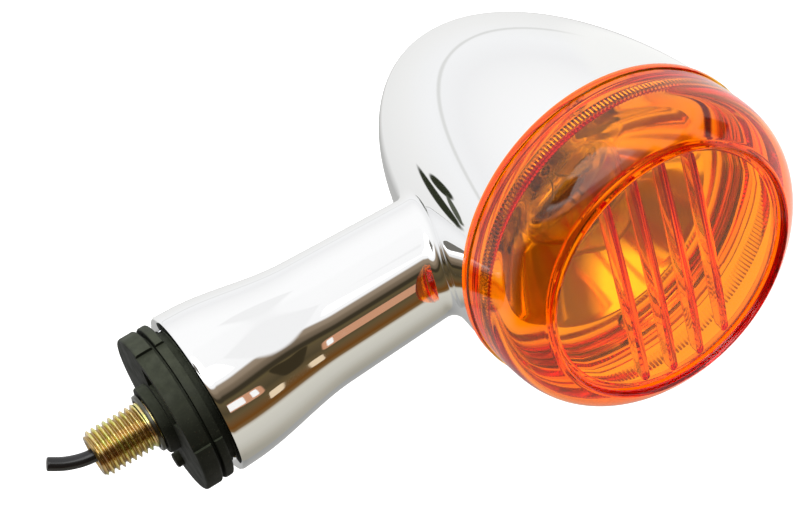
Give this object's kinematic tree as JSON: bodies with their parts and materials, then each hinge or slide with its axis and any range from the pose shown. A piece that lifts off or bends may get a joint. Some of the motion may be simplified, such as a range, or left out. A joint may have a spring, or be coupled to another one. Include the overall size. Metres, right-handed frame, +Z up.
{
  "type": "turn signal indicator",
  "caption": "Motorcycle turn signal indicator with a chromed bullet housing on a hollow stem, a pull-off amber lens, a bayonet bulb, a rubber damper and a hollow threaded mounting stud.",
  "frame": {"origin": "centre of the rubber damper's mounting face, on the axis of the mounting stud", "axes": "+X runs along the stem from the bracket to the lamp, the lens faces -Y, +Z is up"},
  "size_m": [0.1548, 0.0945, 0.0706],
  "materials": {
    "chrome": "mirror chrome plate",
    "amber_lens": "polished clear amber acrylic",
    "rubber": "matt moulded, fine speckle",
    "yellow_zinc": "yellow-passivated zinc plate, iridescent",
    "steel": "bright plated",
    "reflector_silver": "vacuum-metallised",
    "bakelite": "laminated board",
    "brass": "drawn brass",
    "spring_steel": "drawn wire",
    "black_plastic": "vitrified black",
    "solder": "solder button",
    "bulb_glass": "clear blown glass",
    "tungsten": "drawn wire",
    "lead_pvc": "glossy black PVC",
    "live_pvc": "green PVC"
  },
  "bodies": {
    "housing": {"lamp_housing": "chrome", "lens_gasket": "rubber", "reflector": "reflector_silver", "reflector_screw_upper": "yellow_zinc", "reflector_screw_lower": "yellow_zinc", "bulb_socket": "steel", "socket_insulator": "bakelite", "live_terminal": "brass", "earth_tab": "brass", "contact_spring": "spring_steel", "base_damper": "rubber", "mounting_stud": "yellow_zinc", "stud_collar": "steel", "stem_washer": "steel", "stem_nut": "yellow_zinc", "lead_grommet": "rubber", "lead_cable": "lead_pvc", "live_wire": "live_pvc", "earth_wire": "lead_pvc"},
    "lens": {"lens": "amber_lens"},
    "plunger": {"contact_plunger": "brass"},
    "bulb": {"bulb_cap": "brass", "bulb_insulator": "black_plastic", "bulb_contact": "solder", "bulb_glass": "bulb_glass", "bulb_stem": "bulb_glass", "filament": "tungsten", "filament_support_left": "tungsten", "filament_support_right": "tungsten"}
  },
  "joints": [
    {"name": "lens_pull", "type": "slide", "parent": "housing", "child": "lens", "axis": [0, -1, 0], "range_m": [0, 0.03]},
    {"name": "contact_push", "type": "slide", "parent": "housing", "child": "plunger", "axis": [0, 1, 0], "range_m": [0, 0.002], "stiffness_N_per_m": 2500, "springref_m": -0.002, "deforming": ["contact_spring"]},
    {"name": "bulb_twist", "type": "hinge", "parent": "plunger", "child": "bulb", "pos_m": [0.095, 0, 0], "axis": [0, -1, 0], "range_deg": [0, 20]}
  ]
}
